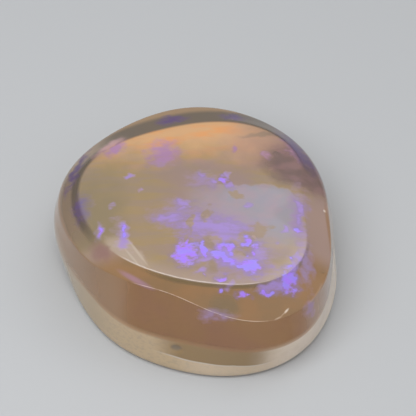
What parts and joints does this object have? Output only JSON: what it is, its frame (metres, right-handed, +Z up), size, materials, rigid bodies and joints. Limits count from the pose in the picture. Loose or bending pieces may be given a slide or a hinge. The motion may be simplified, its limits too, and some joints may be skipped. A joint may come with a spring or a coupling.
{
  "type": "crystal opal",
  "caption": "Freeform crystal opal: a polished, see-through stone with a nearly level top, a narrow bevel, steep sides and a flat back.",
  "frame": {"origin": "middle of the stone's box, on its flat back", "axes": "+Z up out of the polished top, -Y towards the side with the long bevelled edge, +X to the right of somebody facing that side"},
  "size_m": [0.0112, 0.0116, 0.004],
  "materials": {
    "opal": "high polish, see-through with a faint warm haze"
  },
  "bodies": {
    "root": {"opal": "opal"}
  },
  "joints": []
}
